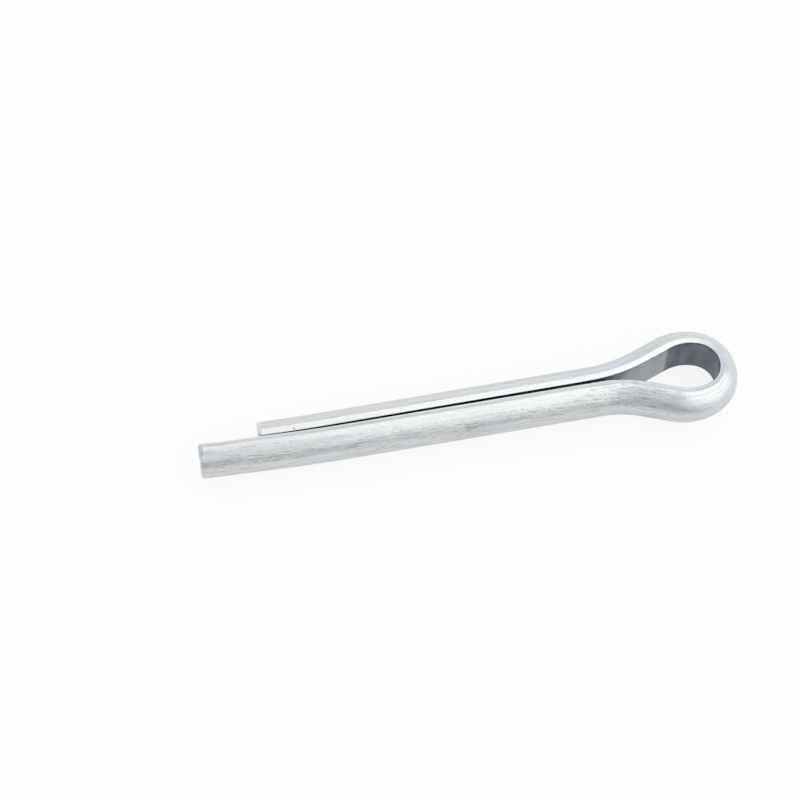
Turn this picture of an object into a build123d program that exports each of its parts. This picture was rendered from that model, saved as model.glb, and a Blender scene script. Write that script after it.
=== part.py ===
from build123d import *
import os
from math import atan, cos, degrees, radians, sin, tan

# Split pin bent from one length of half-round wire, all sizes in mm.
# The shank lies along X, with the eye at +X and the two prong ends at -X. The eye lies flat in XY.
# The origin is on the shank's axis, where the near leg flares out into the eye.

# Wire, and the bevels between its flat and its round: how far each reaches down the flat and along the round
wire_width = 4.5
bevel_drop = 0.23
bevel_reach = 0.53

# Cropped ends: the small bevel round each, and the facet that the blade has left on its outer top edge
end_bevel = 0.2
shear_tilt = 25.0
shear_length = 0.45
shear_depth = 0.3

# Legs: the near leg reaches past the end of the far one as a prong
short_leg = 30.6
prong_reach = 5.3

# Slit between the flats of the legs: each flat's distance from the shank's axis next to the eye,
# and the clearance that is left where the far leg ends on the near one
near_flat_set = 0.1
far_flat_set = 0.15
tip_gap = 0.03

# Both legs bend slightly to the far side near their ends. Each bend starts its lead before the far leg's end.
end_bend_radius = 160.0
near_end_bend = 2.5
near_bend_lead = 8.5
far_end_bend = 1.6
far_bend_lead = 6.0

# Eye, along the middle of the round
eye_reach = 10.3
nose_radius = 1.95
nose_half_angle = 68.6
shoulder_radius = 3.4
near_flare = 21.9
near_crotch_radius = 10.8
far_flare = 20.5
far_crotch_radius = 15.2

# Flat round the eye, where bending has drawn the wire thinner: its distance from the middle of the round
shoulder_flat_set = 0.2
nose_flat_set = 0.47

wire_radius = wire_width / 2
cut_margin = wire_width


def end_rise(bend, lead):
    """How far a leg's end bend has lifted it to the far side by the far leg's end."""
    past_bend = lead - end_bend_radius * sin(radians(bend))
    return end_bend_radius * (1 - cos(radians(bend))) + past_bend * tan(radians(bend))


# The far leg leans on the near one, so that their flats meet at its end with the tip gap between them
near_rise = end_rise(near_end_bend, near_bend_lead)
far_rise = end_rise(far_end_bend, far_bend_lead)
slit_closing = near_flat_set + far_flat_set + far_rise - near_rise - tip_gap
near_lean = 0
far_lean = degrees(atan(slit_closing / short_leg))


def straight_length(flare, lean, crotch_radius, leg_set, nose, shoulder):
    """Length of the eye's straight side, between its crotch bend and its shoulder."""
    bend_rise = crotch_radius * (cos(radians(lean)) - cos(radians(flare)))
    nose_rise = nose * sin(radians(nose_half_angle))
    shoulder_rise = shoulder * (cos(radians(flare)) - sin(radians(nose_half_angle)))
    return (nose_rise + shoulder_rise - bend_rise - leg_set) / sin(radians(flare))


def draw_eye_side(side, flare, lean, crotch_radius, leg_set, reach, nose, shoulder):
    """Draw one side of the eye from its nose to its crotch, and return the crotch bend."""
    straight = straight_length(flare, lean, crotch_radius, leg_set, nose, shoulder)
    nose_arc = JernArc((reach, 0), (0, side), nose, side * nose_half_angle)
    shoulder_arc = JernArc(nose_arc @ 1, nose_arc % 1, shoulder, side * (90 + flare - nose_half_angle))
    side_line = Line(shoulder_arc @ 1, shoulder_arc @ 1 + straight * (shoulder_arc % 1))
    return JernArc(side_line @ 1, side_line % 1, crotch_radius, side * (lean - flare))


def draw_straight(before, end_x):
    """Draw straight on from the end of a bend to end_x, and return the line."""
    direction = before % 1
    length = (end_x - (before @ 1).X) / direction.X
    return Line(before @ 1, before @ 1 + length * direction)


def draw_leg(crotch, lead, bend, end_x):
    """Draw a leg from its crotch bend to end_x, with its end bend, and return its last line."""
    shank = draw_straight(crotch, lead - short_leg)
    end_bend = JernArc(shank @ 1, shank % 1, end_bend_radius, -bend)
    return draw_straight(end_bend, end_x)


# Middle of the round, along each leg and its side of the eye
with BuildLine() as near_line:
    near_crotch = draw_eye_side(
        -1, near_flare, near_lean, near_crotch_radius, 0,
        eye_reach, nose_radius, shoulder_radius,
    )
    draw_leg(near_crotch, near_bend_lead, near_end_bend, -short_leg - prong_reach)

with BuildLine() as far_line:
    far_crotch = draw_eye_side(
        1, far_flare, far_lean, far_crotch_radius, 0,
        eye_reach, nose_radius, shoulder_radius,
    )
    draw_leg(far_crotch, far_bend_lead, far_end_bend, -short_leg)

# Flat side of the wire, seen from above: what it clears on each side of the pin
opening_reach = eye_reach + nose_flat_set
opening_nose = nose_radius + shoulder_flat_set
opening_shoulder = shoulder_radius + shoulder_flat_set

with BuildSketch() as near_opening:
    with BuildLine():
        near_flat_crotch = draw_eye_side(
            -1, near_flare, near_lean, near_crotch_radius, near_flat_set,
            opening_reach, opening_nose, opening_shoulder,
        )
        near_end_x = -short_leg - prong_reach - cut_margin
        near_flat = draw_leg(near_flat_crotch, near_bend_lead, near_end_bend, near_end_x)
        near_corner = (near_end_x, cut_margin)
        Polyline(near_flat @ 1, near_corner, (opening_reach, cut_margin), (opening_reach, 0))
    make_face()

with BuildSketch() as far_opening:
    with BuildLine():
        far_flat_crotch = draw_eye_side(
            1, far_flare, far_lean, far_crotch_radius, far_flat_set,
            opening_reach, opening_nose, opening_shoulder,
        )
        far_end_x = -short_leg - cut_margin
        far_flat = draw_leg(far_flat_crotch, far_bend_lead, far_end_bend, far_end_x)
        far_corner = (far_end_x, -cut_margin)
        Polyline(far_flat @ 1, far_corner, (opening_reach, -cut_margin), (opening_reach, 0))
    make_face()


def shear_plane(side, centre_line):
    """Plane of the blade's facet at the end of a leg, from the end face to the outer top of the round."""
    way = centre_line % 1
    up = Vector(0, 0, 1)
    outward = side * way.cross(up)
    toward_blade = sin(radians(shear_tilt)) * outward + cos(radians(shear_tilt)) * up
    on_round = centre_line @ 1 + wire_radius * toward_blade - shear_length * way
    return Plane(origin=on_round, z_dir=shear_length * toward_blade + shear_depth * way)


def bend_half(side, centre_line, opening):
    """Half of the pin, from the nose of its eye to the cropped end of one leg."""
    with BuildPart() as half:
        # Round side of the wire
        with BuildSketch(Plane.XZ):
            with Locations((eye_reach, 0)):
                Circle(wire_radius)
                Rectangle(wire_width, wire_width, align=(Align.MAX, Align.CENTER), mode=Mode.SUBTRACT)
        sweep(path=centre_line)

        # Flat side
        extrude(opening, amount=wire_width, both=True, mode=Mode.SUBTRACT)

        # Bevels between the flat and the round, which run on from the leg round the eye
        leg_flat = half.faces().filter_by(GeomType.PLANE).sort_by(SortBy.AREA)[-1]
        leg_edges = leg_flat.edges().filter_by(lambda e: abs(e.center().Z) > wire_radius - bevel_reach)
        chamfer(leg_edges, length=bevel_drop, length2=bevel_reach, reference=leg_flat)

        # Cropped end of the leg
        cropped_end = half.faces().sort_by(Axis.X)[0]
        chamfer(cropped_end.edges(), end_bevel)
        split(bisect_by=shear_plane(side, centre_line), keep=Keep.BOTTOM)
    return half.part


with BuildPart() as cotter_pin:
    add(bend_half(-1, near_line.line, near_opening.sketch))
    add(bend_half(1, far_line.line, far_opening.sketch))

cotter_pin.part.label = "cotter_pin"
os.makedirs("parts", exist_ok=True)
export_step(cotter_pin.part, "parts/cotter_pin.step")
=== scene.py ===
from functools import reduce
from math import acos, atan, atan2, cos, degrees, dist, pi, radians, sin, sqrt, tan

import bpy
from mathutils import Matrix, Vector


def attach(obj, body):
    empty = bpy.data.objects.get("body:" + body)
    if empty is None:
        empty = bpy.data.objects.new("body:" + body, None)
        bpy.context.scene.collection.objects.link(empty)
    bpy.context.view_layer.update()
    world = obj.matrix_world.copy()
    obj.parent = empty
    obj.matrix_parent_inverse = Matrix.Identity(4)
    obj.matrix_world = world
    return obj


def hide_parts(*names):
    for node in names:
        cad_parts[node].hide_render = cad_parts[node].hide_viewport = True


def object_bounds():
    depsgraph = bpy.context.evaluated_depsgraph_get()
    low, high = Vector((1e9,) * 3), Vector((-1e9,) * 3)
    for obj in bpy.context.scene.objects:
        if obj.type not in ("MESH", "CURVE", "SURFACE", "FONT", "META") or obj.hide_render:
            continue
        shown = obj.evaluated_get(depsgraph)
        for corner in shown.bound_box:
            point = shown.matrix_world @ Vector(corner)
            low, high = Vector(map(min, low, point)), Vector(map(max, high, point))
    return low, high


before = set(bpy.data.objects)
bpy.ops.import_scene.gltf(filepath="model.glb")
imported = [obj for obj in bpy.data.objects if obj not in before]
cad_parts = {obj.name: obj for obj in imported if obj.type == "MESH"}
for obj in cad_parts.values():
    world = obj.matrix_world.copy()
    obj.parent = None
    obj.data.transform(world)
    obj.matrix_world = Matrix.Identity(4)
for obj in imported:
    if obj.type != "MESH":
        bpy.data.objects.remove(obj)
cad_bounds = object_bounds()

MM = 0.001

# Wire, legs and eye in mm, as the CAD part has them
WIRE_RADIUS = 2.25
BEVEL_DROP = 0.23
BEVEL_REACH = 0.53
SHEAR_TILT = radians(25.0)
SHEAR_LENGTH = 0.45
SHEAR_DEPTH = 0.3
SHORT_LEG = 30.6
PRONG_REACH = 5.3
TIP_GAP = 0.03
END_BEND_RADIUS = 160.0
EYE_REACH = 10.3
NOSE_RADIUS = 1.95
NOSE_HALF_ANGLE = radians(68.6)
SHOULDER_RADIUS = 3.4
SHOULDER_FLAT_SET = 0.2
NOSE_FLAT_SET = 0.47

# Each side of the pin: how its leg and eye differ. Both end bends turn to +Y.
NEAR = {"side": -1, "flat_set": 0.1, "lead": 8.5, "bend": 2.5, "flare": 21.9, "crotch": 10.8}
FAR = {"side": 1, "flat_set": 0.15, "lead": 6.0, "bend": 1.6, "flare": 20.5, "crotch": 15.2}


def end_rise(leg):
    """How far a leg's end bend has lifted it toward +Y by the far leg's end."""
    bend = radians(leg["bend"])
    past_bend = leg["lead"] - END_BEND_RADIUS * sin(bend)
    return END_BEND_RADIUS * (1 - cos(bend)) + past_bend * tan(bend)


NEAR["lean"] = 0.0
NEAR["end_x"] = -SHORT_LEG - PRONG_REACH
FAR["end_x"] = -SHORT_LEG
slit_closing = NEAR["flat_set"] + FAR["flat_set"] + end_rise(FAR) - end_rise(NEAR) - TIP_GAP
FAR["lean"] = degrees(atan(slit_closing / SHORT_LEG))

# Spacing of the points along the middle of the round and along the flat, and its share in each stretch
ROUND_SPACING = 0.16
FLAT_SPACING = 0.12
NOSE_SHARE, SHOULDER_SHARE, LEG_SHARE = 0.6, 0.8, 2.0

# How far the flat is drawn past a leg's end, and how far from the middle of the round it is looked for
FLAT_PAST_END = 2.0
FLAT_SEARCH = 1.5
PARALLEL = 1e-12
SLACK = 1e-6


def wire_path(leg, spacing, leg_set=0.0, nose_set=0.0, shoulder_set=0.0, past_end=0.0):
    """Points from the nose of the eye to the end of one leg, as (distance, x, y, heading).

    The path is drawn on the +Y side and mirrored for the near leg. Without the sets it is the middle
    of the round, and with them it is the flat.
    """
    side, flare, lean = leg["side"], radians(leg["flare"]), radians(leg["lean"])
    nose, shoulder = NOSE_RADIUS + shoulder_set, SHOULDER_RADIUS + shoulder_set
    bend_rise = leg["crotch"] * (cos(lean) - cos(flare))
    shoulder_rise = shoulder * (cos(flare) - sin(NOSE_HALF_ANGLE))
    straight = (nose * sin(NOSE_HALF_ANGLE) + shoulder_rise - bend_rise - leg_set) / sin(flare)
    points = [(0.0, EYE_REACH + nose_set, 0.0, pi / 2)]

    def run(length, curve, step):
        s, x, y, heading = points[-1]
        count = max(1, round(length / step))
        for i in range(1, count + 1):
            d = length * i / count
            turned = heading + d * curve
            if curve:
                across = (sin(turned) - sin(heading)) / curve
                up = (cos(heading) - cos(turned)) / curve
            else:
                across, up = d * cos(heading), d * sin(heading)
            points.append((s + d, x + across, y + up, turned))

    def run_to(end_x, step):
        x, heading = points[-1][1], points[-1][3]
        run((end_x - x) / cos(heading), 0, step)

    run(nose * NOSE_HALF_ANGLE, 1 / nose, NOSE_SHARE * spacing)
    run(shoulder * (pi / 2 + flare - NOSE_HALF_ANGLE), 1 / shoulder, SHOULDER_SHARE * spacing)
    run(straight, 0, spacing)
    run(leg["crotch"] * (flare - lean), -1 / leg["crotch"], spacing)
    run_to(leg["lead"] - SHORT_LEG, LEG_SHARE * spacing)
    run(END_BEND_RADIUS * radians(leg["bend"]), -side / END_BEND_RADIUS, LEG_SHARE * spacing)
    run_to(leg["end_x"] - past_end, LEG_SHARE * spacing)
    if side > 0:
        return points
    return [(s, x, -y, -heading) for s, x, y, heading in points]


def flat_distance(point, normal, flat):
    """How far the wire's flat lies from a point of the path along its outward normal."""
    best, nearest = NOSE_FLAT_SET, FLAT_SEARCH
    for (_, ax, ay, _), (_, bx, by, _) in zip(flat, flat[1:]):
        ex, ey = bx - ax, by - ay
        cross = normal[0] * ey - normal[1] * ex
        if abs(cross) < PARALLEL:
            continue
        dx, dy = ax - point[0], ay - point[1]
        away = (dx * ey - dy * ex) / cross
        share = (dx * normal[1] - dy * normal[0]) / cross
        if -SLACK <= share <= 1 + SLACK and abs(away) < nearest:
            best, nearest = away, abs(away)
    return best


# Worn corners of the section: the crease between round and bevel, and the edge between bevel and flat.
# The lead is the angle by which the round is aimed at before its crease, in radians. The edge's size
# shrinks by this share of the inset, down to its minimum.
CREASE_SIZE = 0.04
CREASE_LEAD = 0.05
EDGE_SIZE = 0.11
EDGE_SHRINK = 0.8
EDGE_MIN = 0.02
ROUND_STEPS, CREASE_STEPS, BEVEL_STEPS, EDGE_STEPS, FLAT_STEPS = 40, 4, 3, 5, 5


def along(start, end, share):
    return tuple(p + (q - p) * share for p, q in zip(start, end))


def on_circle(radius, angle):
    return radius * cos(angle), radius * sin(angle)


def rounded(start, corner, end, size, steps):
    """Points of a rounded corner of a polyline, cut back by size on both sides."""
    a = along(corner, start, size / dist(corner, start))
    b = along(corner, end, size / dist(corner, end))
    shares = [i / steps for i in range(steps + 1)]
    return [along(along(a, corner, share), along(corner, b, share), share) for share in shares]


def section(flat_set, inset=0.0):
    """Loop of the wire's section as (outward, up): its round, then a bevel, the flat and the other bevel."""
    radius, face = WIRE_RADIUS - inset, flat_set + inset
    corner = acos(flat_set / WIRE_RADIUS)
    crease = on_circle(WIRE_RADIUS, corner - BEVEL_REACH / WIRE_RADIUS)
    edge = (flat_set, WIRE_RADIUS * sin(corner) - BEVEL_DROP)
    width = dist(crease, edge)
    way = ((edge[0] - crease[0]) / width, (edge[1] - crease[1]) / width)

    # Bevel moved in by the inset, from the inset round to the inset flat
    moved = (crease[0] - inset * way[1], crease[1] + inset * way[0])
    middle = moved[0] * way[0] + moved[1] * way[1]
    back = -middle - sqrt(middle ** 2 - moved[0] ** 2 - moved[1] ** 2 + radius ** 2)
    crease = (moved[0] + back * way[0], moved[1] + back * way[1])
    edge = (face, crease[1] + (face - crease[0]) / way[0] * way[1])

    # Upper half of the loop, then its mirror image
    bend = atan2(crease[1], crease[0])
    last = bend - CREASE_SIZE / radius
    half = [on_circle(radius, last * i / ROUND_STEPS) for i in range(ROUND_STEPS)]
    half += rounded(on_circle(radius, bend - CREASE_LEAD), crease, edge, CREASE_SIZE, CREASE_STEPS)
    edge_size = max(EDGE_SIZE - EDGE_SHRINK * inset, EDGE_MIN)
    edge_points = rounded(crease, edge, (face, 0), edge_size, EDGE_STEPS)
    half += [along(half[-1], edge_points[0], i / BEVEL_STEPS) for i in range(1, BEVEL_STEPS)]
    half += edge_points
    half += [along(half[-1], (face, 0), i / FLAT_STEPS) for i in range(1, FLAT_STEPS + 1)]
    return half + [(n, -z) for n, z in half[-2:0:-1]]


# Rounding of the cropped ends, and the finer stretch next to it
END_RADIUS, END_STEPS = 0.28, 6
TIP_LENGTH, TIP_SPACING = 0.9, 0.06


def wire_rings():
    """Stations along the whole wire, from the near leg's end round the eye to the far leg's end.

    Each is (distance from the nose, x, y, outward direction, flat set, inset). The facets at the two
    ends come with them, the near one first, each as a point and the direction out of the metal.
    """
    arms, facets = [], []
    for leg in (NEAR, FAR):
        side = leg["side"]
        path = wire_path(leg, ROUND_SPACING)
        flat = wire_path(leg, FLAT_SPACING, leg["flat_set"], NOSE_FLAT_SET, SHOULDER_FLAT_SET, FLAT_PAST_END)
        arm = []
        for s, x, y, heading in path:
            out = (side * sin(heading), -side * cos(heading))
            arm.append((side * s, x, y, out, flat_distance((x, y), out, flat), 0.0))
        total, x, y, out, flat_set, _ = arm[-1]
        way = Vector((cos(heading), sin(heading), 0.0))

        def before_end(back, inset=0.0):
            return (total - side * back, x - back * way.x, y - back * way.y, out, flat_set, inset)

        arm = [ring for ring in arm if abs(ring[0]) < abs(total) - TIP_LENGTH]
        fine = round((TIP_LENGTH - END_RADIUS) / TIP_SPACING)
        arm += [before_end(TIP_LENGTH - (TIP_LENGTH - END_RADIUS) * i / fine) for i in range(fine)]
        turns = [pi / 2 * i / END_STEPS for i in range(END_STEPS + 1)]
        arm += [before_end(END_RADIUS * (1 - sin(a)), END_RADIUS * (1 - cos(a))) for a in turns]
        arms.append(arm)
        blade = Vector((out[0] * sin(SHEAR_TILT), out[1] * sin(SHEAR_TILT), cos(SHEAR_TILT)))
        on_round = Vector((x, y, 0.0)) + WIRE_RADIUS * blade - SHEAR_LENGTH * way
        facets.append((on_round, (SHEAR_LENGTH * blade + SHEAR_DEPTH * way).normalized()))
    return arms[0][::-1] + arms[1][1:], facets


# From the nose along the wire, in mm: where the painted shade round the mandrel fades, where that on the
# eye's inner wall fades, and where the legs start
MANDREL_END = (4.75, 4.95)
EYE_END = (11.5, 14.5)
LEG_START = 20.0

# Out from the flat: that wall, and the painted highlight along the flat's edge, which starts just inside the
# bevel's
WALL_DEPTH = (0.02, 0.12)
EDGE_DEPTH = (0.09, 0.16)
EDGE_START = (-0.13, -0.06)

# In from the end face: the cut metal. To both sides of the facet's edge: a painted highlight along its rim
CUT_DEPTH = (0.1, END_RADIUS)
RIM_WIDTH = (0.021, 0.07)

# Shares: of the painted shade on the eye's side walls, and of the painted highlight on the far leg's edge
SIDE_SHADE_SHARE = 0.46
FAR_HIGHLIGHT_SHARE = 0.3


def smooth(x, low, high):
    t = min(1.0, max(0.0, (x - low) / (high - low)))
    return t * t * (3 - 2 * t)


def finish_and_painted_light(s, n, z, flat_set, inset, past_facet):
    """A point's shares of the painted shade on the inner wall, the cut metal and the painted highlight on its
    edges and rims.

    s is its distance along the wire from the nose, and n and z are its place in the section.
    """
    on_wall = 1 - smooth(n - flat_set, *WALL_DEPTH)
    in_mandrel = 1 - smooth(abs(s), *MANDREL_END)
    in_eye = 1 - smooth(abs(s), *EYE_END)
    # Share of painted shade: full on the curved wall round the mandrel, less on the eye's straight side walls
    inner = on_wall * max(in_mandrel, SIDE_SHADE_SHARE * in_eye)
    cut = 1.0 if past_facet > 0 else smooth(inset, *CUT_DEPTH)
    edge_z = sqrt(WIRE_RADIUS ** 2 - flat_set ** 2) - BEVEL_DROP
    # Painted highlight: a pale line along the flat's edges, weaker on the far leg, and round the facets' rims
    edge = (1 - smooth(n - flat_set, *EDGE_DEPTH)) * smooth(abs(z) - edge_z, *EDGE_START)
    rim_highlight = 1 - smooth(abs(past_facet), *RIM_WIDTH)
    return inner, cut, max(rim_highlight, edge * (FAR_HIGHLIGHT_SHARE if s > 0 else 1.0))


def build_wire():
    """Mesh of the bent wire. Each point keeps its place in the straight wire and its shares of painted shade,
    cut metal and painted highlight.
    """
    verts, faces, straight, shares, starts = [], [], [], [], []
    rings, facets = wire_rings()
    for s, x, y, out, flat_set, inset in rings:
        starts.append(len(verts))
        on_round, slope = facets[s > 0]
        loop = section(flat_set, inset)
        for n, z in loop:
            spot = Vector((x + n * out[0], y + n * out[1], z))
            # only the legs reach a facet, so the eye counts as well short of it
            past_facet = (spot - on_round).dot(slope) if abs(s) > LEG_START else -LEG_START
            if past_facet > 0:
                spot -= slope * past_facet
            verts.append(spot * MM)
            straight.append((s, n, z))
            shares.append(finish_and_painted_light(s, n, z, flat_set, inset, past_facet))
    count = len(loop)
    for a, b in zip(starts, starts[1:]):
        for i in range(count):
            j = (i + 1) % count
            faces.append((a + i, b + i, b + j, a + j))

    # The end faces, each a fan round a point of its own
    for start, ring, turn in ((starts[0], rings[0], 1), (starts[-1], rings[-1], -1)):
        s, x, y, out, flat_set, _ = ring
        n = (WIRE_RADIUS + flat_set) / 2
        centre = len(verts)
        verts.append(Vector((x + n * out[0], y + n * out[1], 0.0)) * MM)
        straight.append((s, n, 0.0))
        shares.append((0.0, 1.0, 0.0))
        for i in range(count):
            faces.append((start + i, start + (i + 1) % count, centre)[::turn])

    mesh = bpy.data.meshes.new("bent_wire")
    mesh.from_pydata(verts, [], faces)
    mesh.shade_smooth()
    place = mesh.attributes.new("straight", "FLOAT_VECTOR", "POINT")
    place.data.foreach_set("vector", [c for p in straight for c in p])
    for name, values in zip(("inner", "cut", "painted_highlight"), zip(*shares)):
        mesh.attributes.new(name, "FLOAT", "POINT").data.foreach_set("value", values)
    wire = bpy.data.objects.new("bent_wire", mesh)
    bpy.context.collection.objects.link(wire)
    return wire


RISING = (0.0, 1.0)
FALLING = (1.0, 0.0)


class Nodes:
    """Adds nodes to a node tree and links them as they are made."""

    def __init__(self, tree):
        self.tree = tree
        self.tree.nodes.clear()

    def put(self, socket, value):
        if isinstance(value, bpy.types.NodeSocket):
            self.tree.links.new(value, socket)
        else:
            socket.default_value = value

    def add(self, kind, inputs=(), **settings):
        node = self.tree.nodes.new("ShaderNode" + kind)
        for key, value in settings.items():
            setattr(node, key, value)
        for key, value in dict(inputs).items():
            self.put(node.inputs[key], value)
        return node

    def attribute(self, name, output):
        return self.add("Attribute", attribute_name=name).outputs[output]

    def math(self, operation, a, b=0.0):
        return self.add("Math", {0: a, 1: b}, operation=operation).outputs[0]

    def total(self, *values):
        return reduce(lambda a, b: self.math("ADD", a, b), values)

    def product(self, *values):
        return reduce(lambda a, b: self.math("MULTIPLY", a, b), values)

    def noise(self, place, cycles, detail=2.0, offset=(0.0, 0.0, 0.0)):
        """Noise of 0 to 1, its cycles per mm given along the wire and across it."""
        mapping = self.add("Mapping", {"Vector": place, "Scale": cycles, "Location": offset})
        inputs = {"Vector": mapping.outputs[0], "Scale": 1.0, "Detail": detail}
        return self.add("TexNoise", inputs).outputs["Fac"]

    def fit(self, value, span, levels=RISING, kind="LINEAR"):
        """The value's place in a span, turned into a level and held at the levels of the span's ends."""
        names = ("Value", "From Min", "From Max", "To Min", "To Max")
        inputs = zip(names, (value, *span, *levels))
        return self.add("MapRange", inputs, interpolation_type=kind).outputs[0]

    def ease(self, value, span, levels=RISING):
        """The same as fit, with soft ends."""
        return self.fit(value, span, levels, "SMOOTHSTEP")

    def blend(self, share, a, b):
        node = self.add("Mix", data_type="RGBA")
        for socket, value in zip((node.inputs[0], node.inputs[6], node.inputs[7]), (share, a, b)):
            self.put(socket, value)
        return node.outputs[2]

    def scale(self, colour, factor):
        return self.add("VectorMath", {0: colour, "Scale": factor}, operation="SCALE").outputs[0]

    def finish(self, kind, surface):
        self.tree.links.new(surface.outputs[0], self.add(kind).inputs["Surface"])


BRIGHT_ZINC = (0.745, 0.75, 0.745, 1.0)
BLUE_ZINC = (0.67, 0.71, 0.76, 1.0)
GREEN_ZINC = (0.70, 0.73, 0.715, 1.0)
# Painted highlight: the pale colour of the line along the flat's edges and round the facets' rims
PAINTED_HIGHLIGHT_ZINC = (0.96, 0.98, 1.0, 1.0)
CUT_ZINC = (0.84, 0.87, 0.94, 1.0)
# Painted shade: colour of the eye's inner wall, darkened to stand in for the shaded floor and wall it mirrors
SHADED_WALL_ZINC = (0.19, 0.22, 0.26)

# Textures on the wire: their cycles per mm along it and across it, their detail, and where they start
WAVE = {"cycles": (0.8, 0.5, 0.5), "offset": (4.0, 6.0, 1.0)}
STREAK = {"cycles": (0.10, 3.8, 3.8), "detail": 4.0}
DASH = {"cycles": (0.65, 6.6, 6.6), "offset": (5.0, 2.0, 6.0)}
BAND = {"cycles": (0.05, 0.9, 0.9), "offset": (3.0, 1.0, 7.0)}
CLOUD = {"cycles": (0.18, 0.35, 0.35), "offset": (9.0, 4.0, 2.0)}
GRAIN = {"cycles": (4.5, 4.5, 4.5), "offset": (1.0, 8.0, 5.0)}
# Bands across the wire, which vary the painted shade on the eye's inner wall
WALL_BANDS = {"cycles": (0.9, 0.3, 0.3), "detail": 3.0, "offset": (2.0, 7.0, 3.0)}
WAVE_SWING = (-0.25, 0.25)

# Where the marks lie, in mm: round the crinkle's place on the near side of the eye, and on the outer side
CRINKLE_PLACE = -10.0
CRINKLE_SHARE = (2.8, 7.0), (0.9, 0.0)
OUTER_SHARE = (1.1, 1.9), RISING
PIT_PLACE = (39.2, 0.26, 2.04)
PIT_SHARE = (0.045, 0.15), FALLING

# What each texture or place gives: the span of its values that counts, and the levels at that span's ends
CLOUD_MARKS = (0.38, 0.62), (0.5, 1.0)
NOSE_MARKS = (2.0, 7.0), (0.35, 1.0)
DASH_MARKS = (0.32, 0.45), FALLING
CLOUD_TINT = (0.38, 0.62), RISING
BAND_TINT = (0.35, 0.65), (0.3, 1.0)
WALL_BAND_SHADE = (0.35, 0.65), (0.8, 1.25)
STREAK_SHADE = (0.3, 0.55), (0.87, 1.03)
MARK_SHADE = RISING, (1.0, 0.70)
GRAIN_SHADE = (0.3, 0.7), (0.96, 1.03)
# The pit's darkening is painted shade in its hollow; its relief is real
PIT_SHADE = RISING, (1.0, 0.75)
STREAK_ROUGHNESS = (0.3, 0.7), (0.13, 0.20)
CLOUD_ROUGHNESS = (0.35, 0.65), (-0.02, 0.04)
WALL_ROUGHNESS = RISING, (0.0, 0.15)
CUT_ROUGHNESS = RISING, (0.0, 0.16)
NOSE_ROUGHNESS = (2.0, 7.0), (0.09, 0.0)
NOSE_OUTSIDE = (0.6, 1.6), RISING

# Relief, as shares of its full height
STREAK_HEIGHT = (2.0, 8.0), (0.4, 1.3)
GRAIN_HEIGHT = (2.0, 12.0), (0.8, 0.05)
BAND_HEIGHT = 0.6
MARK_HEIGHT = 2.7
PIT_DEPTH = 2.5
FULL_HEIGHT = 0.018 * MM


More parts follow.
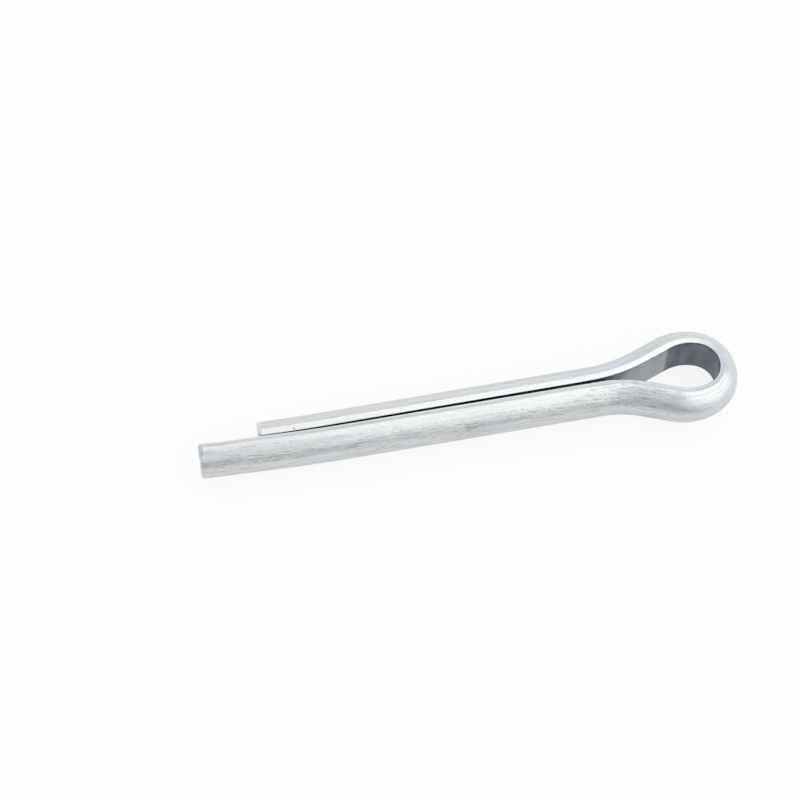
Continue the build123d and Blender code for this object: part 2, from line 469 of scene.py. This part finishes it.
def zinc_material():
    """Drawn and zinc plated wire: fine streaks along it, a crinkle where the eye's near side bends, painted
    shade on the eye's inner wall and in a pit, and painted highlights on edges and rims.
    """
    material = bpy.data.materials.new("zinc")
    material.use_nodes = True
    nodes = Nodes(material.node_tree)
    place = nodes.attribute("straight", "Vector")
    spot = nodes.add("SeparateXYZ", {0: place}).outputs
    outward = spot["Y"]
    from_nose = nodes.math("ABSOLUTE", spot["X"])
    inner, cut, painted_highlight = (nodes.attribute(name, "Fac") for name in ("inner", "cut", "painted_highlight"))

    wave = nodes.fit(nodes.noise(place, **WAVE), RISING, WAVE_SWING)
    swing = nodes.add("CombineXYZ", {1: wave, 2: wave}).outputs[0]
    wavy = nodes.add("VectorMath", {0: place, 1: swing}).outputs[0]
    streak, dash = (nodes.noise(wavy, **texture) for texture in (STREAK, DASH))
    band, cloud, grain, wall_bands = (nodes.noise(place, **texture) for texture in (BAND, CLOUD, GRAIN, WALL_BANDS))

    from_crinkle = nodes.math("ABSOLUTE", nodes.math("SUBTRACT", spot["X"], CRINKLE_PLACE))
    outer = nodes.product(nodes.ease(outward, *OUTER_SHARE), nodes.fit(cloud, *CLOUD_MARKS))
    marked = nodes.math("MAXIMUM", nodes.ease(from_crinkle, *CRINKLE_SHARE), outer)
    marked = nodes.product(marked, nodes.ease(from_nose, *NOSE_MARKS))
    marks = nodes.product(nodes.ease(dash, *DASH_MARKS), marked)
    # A dent in the relief, with painted shade in its hollow
    from_pit = nodes.add("VectorMath", {0: place, 1: PIT_PLACE}, operation="DISTANCE").outputs["Value"]
    pit = nodes.ease(from_pit, *PIT_SHARE)

    tint = nodes.blend(nodes.fit(cloud, *CLOUD_TINT), BLUE_ZINC, GREEN_ZINC)
    colour = nodes.blend(nodes.fit(band, *BAND_TINT), tint, BRIGHT_ZINC)
    colour = nodes.blend(cut, colour, CUT_ZINC)
    # Painted highlight along the flat's edges and round the facets' rims
    colour = nodes.blend(painted_highlight, colour, PAINTED_HIGHLIGHT_ZINC)
    # Painted shade on the eye's inner wall, varied by bands across the wire
    painted_shade = nodes.scale(SHADED_WALL_ZINC, nodes.fit(wall_bands, *WALL_BAND_SHADE))
    shade = nodes.product(
        nodes.fit(streak, *STREAK_SHADE),
        nodes.fit(marks, *MARK_SHADE),
        nodes.fit(grain, *GRAIN_SHADE),
        nodes.fit(pit, *PIT_SHADE),
    )
    colour = nodes.scale(nodes.blend(inner, colour, painted_shade), shade)

    rough = nodes.total(
        nodes.fit(streak, *STREAK_ROUGHNESS),
        nodes.fit(cloud, *CLOUD_ROUGHNESS),
        nodes.fit(inner, *WALL_ROUGHNESS),
        nodes.product(nodes.fit(from_nose, *NOSE_ROUGHNESS), nodes.fit(outward, *NOSE_OUTSIDE)),
        nodes.fit(cut, *CUT_ROUGHNESS),
    )

    height = nodes.total(
        nodes.product(streak, nodes.ease(from_nose, *STREAK_HEIGHT)),
        nodes.product(band, BAND_HEIGHT),
        nodes.product(dash, marked, MARK_HEIGHT),
        nodes.product(grain, nodes.fit(from_nose, *GRAIN_HEIGHT)),
    )
    height = nodes.math("SUBTRACT", height, nodes.product(pit, PIT_DEPTH))
    bump = nodes.add("Bump", {"Height": height, "Distance": FULL_HEIGHT, "Strength": 1.0}).outputs[0]

    surface = {"Base Color": colour, "Metallic": 1.0, "Roughness": rough, "Normal": bump}
    nodes.finish("OutputMaterial", nodes.add("BsdfPrincipled", surface))
    return material


# Floor, in metres, and how far it is lifted from its own colour toward plain white
FLOOR_HALF = 1.5
FLOOR_COLOUR = (0.96, 0.96, 0.96, 1.0)
WHITE = (1.0, 1.0, 1.0, 1.0)
CAMERA_LIFT = 0.87
METAL_LIFT = 0.5

# What metal sees of it: duller in front of the pin, and as white as the camera does past a slanting edge
# beside the nose
FRONT_LEVEL = (-20 * MM, -8 * MM), (0.34, 0.86)
SIDE_SLANT = 0.15
SIDE_EDGE = (9 * MM, 15 * MM)


def floor_material():
    """Matt white, lifted toward plain white for the camera and for what metal mirrors."""
    material = bpy.data.materials.new("floor")
    material.use_nodes = True
    nodes = Nodes(material.node_tree)
    rays = nodes.add("LightPath").outputs
    spot = nodes.add("SeparateXYZ", {0: nodes.add("NewGeometry").outputs["Position"]}).outputs
    aside = nodes.total(spot["X"], nodes.product(spot["Y"], SIDE_SLANT))
    metal_level = nodes.math("MAXIMUM", nodes.ease(spot["Y"], *FRONT_LEVEL), nodes.ease(aside, SIDE_EDGE))
    strength = nodes.math("MAXIMUM", rays["Is Camera Ray"], metal_level)
    matt = nodes.add("BsdfDiffuse", {"Color": FLOOR_COLOUR}).outputs[0]
    white = nodes.add("Emission", {"Color": WHITE, "Strength": strength}).outputs[0]
    mirrored = nodes.math("MAXIMUM", rays["Is Glossy Ray"], rays["Is Transmission Ray"])
    metal_lift = nodes.ease(aside, SIDE_EDGE, (METAL_LIFT, CAMERA_LIFT))
    lift = nodes.total(nodes.product(rays["Is Camera Ray"], CAMERA_LIFT), nodes.product(mirrored, metal_lift))
    nodes.finish("OutputMaterial", nodes.add("MixShader", {0: lift, 1: matt, 2: white}))
    return material


def build_floor():
    """Square floor that the pin lies on."""
    square = ((-1, -1), (1, -1), (1, 1), (-1, 1))
    corners = [(x * FLOOR_HALF, y * FLOOR_HALF, cad_bounds[0][2]) for x, y in square]
    mesh = bpy.data.meshes.new("floor")
    mesh.from_pydata(corners, [], [(0, 1, 2, 3)])
    mesh.materials.append(floor_material())
    floor = bpy.data.objects.new("floor", mesh)
    bpy.context.collection.objects.link(floor)
    return floor


# Soft light overhead. Tilt and lean are a direction's angles from straight up, toward -Y and toward +X, in
# degrees. It fades out at its back, front and inner edges; the front one drops and the inner one shifts.
LIGHT_COLOUR = (1.0, 1.0, 0.972, 1.0)
LIGHT_LEVEL = (5.0, 30.0), (1.31, 1.38)
BACK_EDGE = (-32.0, -6.0), RISING
FRONT_EDGE = (36.0, 67.0), FALLING
FRONT_DROP = (0.0, 70.0), (0.0, 26.0)
INNER_EDGE = (-8.0, 5.0), RISING
INNER_SHIFT = (8.0, 50.0), (0.0, 10.0)

# Grey round it: darker toward -X and low in front, and pale where a direction points to +X and -Y
GREY_COLOUR = (0.97, 0.988, 1.03, 1.0)
LEFT_GREY = (-45.0, 0.0), (0.60, 0.88)
RIGHT_GREY = (0.0, 30.0), (0.0, 0.10)
LOW_GREY = (68.0, 90.0), (1.0, 0.72)
PALE_RIGHT = (0.3, 0.7), RISING
PALE_FRONT = (-0.2, 0.1), FALLING
PALE_LEVEL = 1.12


def studio_world():
    """Grey all round, with a wide soft light above that reaches down to the horizon on the +X side."""
    world = bpy.data.worlds.new("studio")
    world.use_nodes = True
    nodes = Nodes(world.node_tree)
    way = nodes.add("SeparateXYZ", {0: nodes.add("TexCoord").outputs["Generated"]}).outputs
    tilt = nodes.math("DEGREES", nodes.math("ARCTAN2", nodes.product(way["Y"], -1.0), way["Z"]))
    lean = nodes.math("DEGREES", nodes.math("ARCTAN2", way["X"], way["Z"]))

    light = nodes.product(
        nodes.ease(tilt, *BACK_EDGE),
        nodes.ease(nodes.math("SUBTRACT", tilt, nodes.fit(lean, *FRONT_DROP)), *FRONT_EDGE),
        nodes.ease(nodes.math("SUBTRACT", lean, nodes.fit(tilt, *INNER_SHIFT)), *INNER_EDGE),
    )
    grey = nodes.total(nodes.fit(lean, *LEFT_GREY), nodes.fit(lean, *RIGHT_GREY))
    grey = nodes.product(grey, nodes.fit(tilt, *LOW_GREY))
    pale = nodes.product(nodes.fit(way["X"], *PALE_RIGHT), nodes.fit(way["Y"], *PALE_FRONT), PALE_LEVEL)
    grey = nodes.math("MAXIMUM", grey, pale)
    gain = nodes.math("SUBTRACT", nodes.fit(lean, *LIGHT_LEVEL), grey)
    level = nodes.total(grey, nodes.product(light, gain))
    colour = nodes.blend(light, GREY_COLOUR, LIGHT_COLOUR)
    nodes.finish("OutputWorld", nodes.add("Background", {"Color": colour, "Strength": level}))
    return world


# Camera at the photo's angle, its places in mm and its focal length in pixels of the 800-pixel picture
AZIMUTH, ELEVATION = radians(-10.75), radians(61.08)
FOCAL_PX, PICTURE_PX, SENSOR = 2250.0, 800, 36.0
AIM = Vector((1.55, 0.0, 0.0))
DISTANCE, SLIDE, RISE = 200.44, -19.25, -1.044
CLIP_START, CLIP_END = 10.0, 10000.0


def build_camera():
    """Camera that sees the pin as the photo does."""
    back = Vector((sin(AZIMUTH) * cos(ELEVATION), -cos(AZIMUTH) * cos(ELEVATION), sin(ELEVATION)))
    right = Vector((cos(AZIMUTH), sin(AZIMUTH), 0.0))
    up = back.cross(right)
    lens = bpy.data.cameras.new("camera")
    lens.sensor_width = SENSOR
    lens.lens = FOCAL_PX / PICTURE_PX * SENSOR
    lens.clip_start = CLIP_START * MM
    lens.clip_end = CLIP_END * MM
    camera = bpy.data.objects.new("camera", lens)
    camera.matrix_world = Matrix((right, up, back)).transposed().to_4x4()
    camera.location = (AIM + DISTANCE * back + SLIDE * right + RISE * up) * MM
    bpy.context.collection.objects.link(camera)
    return camera


wire = build_wire()
wire.data.materials.append(zinc_material())
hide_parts("cotter_pin")
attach(wire, "root")

floor = build_floor()

bpy.context.scene.world = studio_world()
bpy.context.scene.camera = build_camera()
bpy.context.scene.view_settings.view_transform = "Standard"
